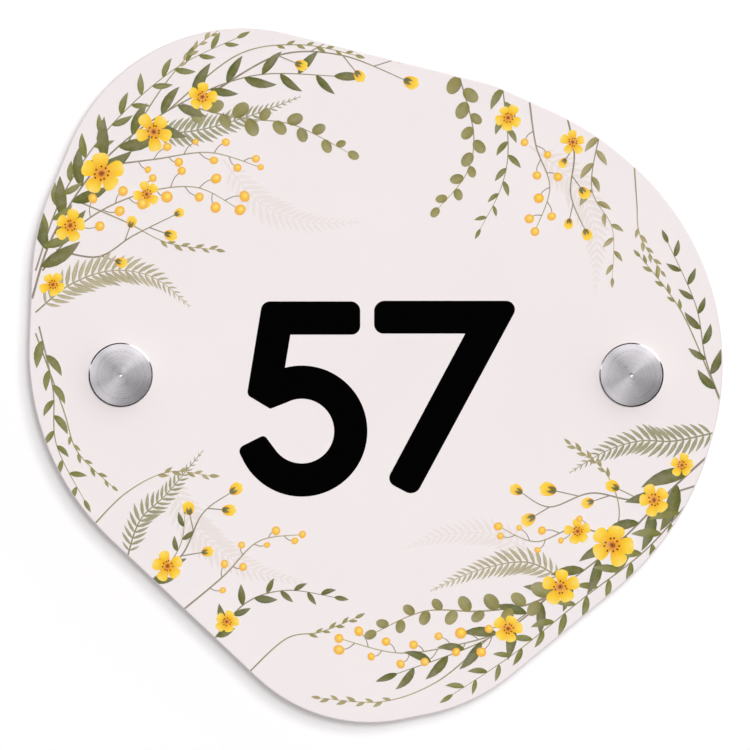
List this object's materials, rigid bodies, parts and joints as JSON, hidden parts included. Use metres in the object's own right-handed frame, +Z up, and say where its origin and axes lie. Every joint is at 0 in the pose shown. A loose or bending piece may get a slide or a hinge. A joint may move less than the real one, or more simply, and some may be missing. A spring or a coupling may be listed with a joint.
{
  "type": "door name plate",
  "caption": "Pebble-shaped acrylic door plate with a printed number and floral border, held clear of the door by turned metal standoffs with countersunk screws.",
  "frame": {"origin": "on the door's surface, midway between the two screws", "axes": "+X right and +Z up as seen from the front, which faces -Y; +Y goes into the door along the screws"},
  "size_m": [0.1998, 0.0446, 0.2],
  "materials": {
    "plate": "satin opal white acrylic, printed on the front",
    "turned_metal": "fine turned stainless steel",
    "washer": "milky plastic ring",
    "screw": "zinc-plated steel"
  },
  "bodies": {
    "root": {"name_plate": "plate", "left_cap": "turned_metal", "left_front_washer": "washer", "left_back_washer": "washer", "left_barrel": "turned_metal", "left_screw": "screw", "right_cap": "turned_metal", "right_front_washer": "washer", "right_back_washer": "washer", "right_barrel": "turned_metal", "right_screw": "screw"}
  },
  "joints": []
}
